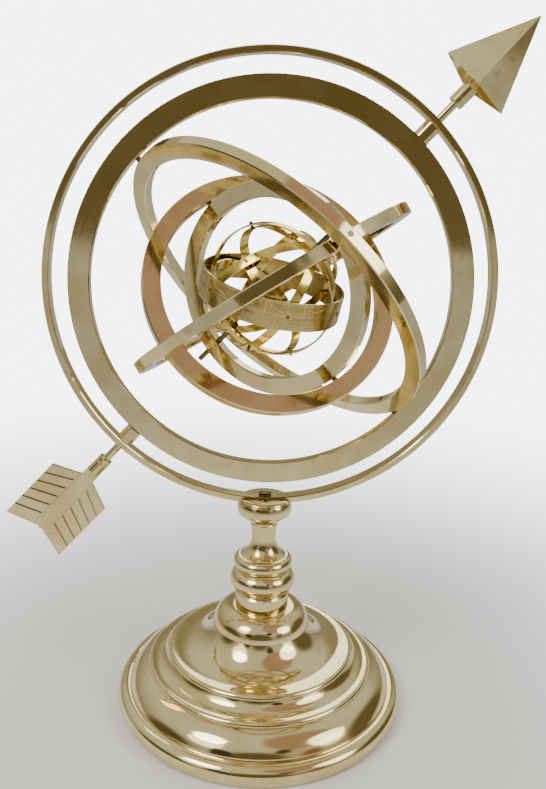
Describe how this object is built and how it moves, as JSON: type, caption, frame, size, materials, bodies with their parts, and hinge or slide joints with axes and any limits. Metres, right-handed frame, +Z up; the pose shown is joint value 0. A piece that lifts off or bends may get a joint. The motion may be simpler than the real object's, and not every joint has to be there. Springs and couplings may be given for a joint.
{
  "type": "armillary sphere",
  "caption": "Brass armillary sphere on a turned stand: nested gimbal rings on pivot pins, an arrow through the outer ring and a hooped globe with a zodiac band.",
  "frame": {"origin": "centre of the underside of the felt pad under the base", "axes": "+Z up through the stem; the outer ring lies in the XZ plane and the arrow points up towards +X; -Y faces the viewer"},
  "size_m": [0.2628, 0.161, 0.3656],
  "materials": {
    "polished_brass": "mirror-polished pale brass, lightly lacquered",
    "hoop_brass": "polished brass strip with a deeper yellow tone",
    "engraved_brass": "satin brass with raised panels and darkened ground",
    "dark_brass": "tarnished brass, dark at the joints",
    "steel": "plain zinc-plated steel",
    "felt": "dark green wool felt"
  },
  "bodies": {
    "stand": {"base_shell": "polished_brass", "ballast_disc": "steel", "felt_pad": "felt", "tie_rod": "steel", "tie_washer": "steel", "tie_nut": "steel", "collar_ring": "polished_brass", "lower_bead": "polished_brass", "upper_bead": "polished_brass", "trumpet_stem": "polished_brass", "ring_cup": "polished_brass", "ring_screw": "dark_brass", "outer_ring": "polished_brass"},
    "arrow_body": {"arrow_ring": "polished_brass", "shaft_head_side": "polished_brass", "shaft_tail_side": "polished_brass", "bush_head_side": "polished_brass", "bush_tail_side": "polished_brass", "head_ferrule": "polished_brass", "arrow_head": "polished_brass", "tail_ferrule": "polished_brass", "arrow_tail": "polished_brass", "pins_in_arrow_ring": "dark_brass"},
    "great_body": {"great_ring": "polished_brass", "pins_in_great_ring": "dark_brass"},
    "edge_body": {"edge_ring": "polished_brass", "pins_in_edge_ring": "dark_brass"},
    "facing_body": {"facing_ring": "polished_brass", "pins_in_facing_ring": "dark_brass"},
    "inner_body": {"inner_ring": "polished_brass", "globe_pins": "dark_brass"},
    "globe_body": {"zodiac_band": "engraved_brass", "meridian_hoop_a": "hoop_brass", "meridian_hoop_b": "hoop_brass", "meridian_hoop_c": "hoop_brass", "tropic_hoop_north": "hoop_brass", "tropic_hoop_south": "hoop_brass", "globe_rivets": "dark_brass", "globe_sleeves": "dark_brass"}
  },
  "joints": [
    {"name": "arrow_spin", "type": "hinge", "parent": "stand", "child": "arrow_body", "pos_m": [0, 0, 0.2328], "axis": [0.6794, 0, 0.7337], "continuous": true},
    {"name": "great_ring_spin", "type": "hinge", "parent": "arrow_body", "child": "great_body", "pos_m": [0, 0, 0.2328], "axis": [-0.7336, 0.0175, 0.6793], "continuous": true},
    {"name": "edge_ring_spin", "type": "hinge", "parent": "great_body", "child": "edge_body", "pos_m": [0, 0, 0.2328], "axis": [-0.3224, 0.8711, -0.3705], "continuous": true},
    {"name": "facing_ring_spin", "type": "hinge", "parent": "edge_body", "child": "facing_body", "pos_m": [0, 0, 0.2328], "axis": [0.7829, 0.4654, 0.4129], "continuous": true},
    {"name": "inner_ring_swing", "type": "hinge", "parent": "facing_body", "child": "inner_body", "pos_m": [0, 0, 0.2328], "axis": [0.5854, -0.326, -0.7423], "range_deg": [-52, 115]},
    {"name": "globe_spin", "type": "hinge", "parent": "inner_body", "child": "globe_body", "pos_m": [0, 0, 0.2328], "axis": [-0.5869, 0.4613, -0.6654], "continuous": true}
  ]
}
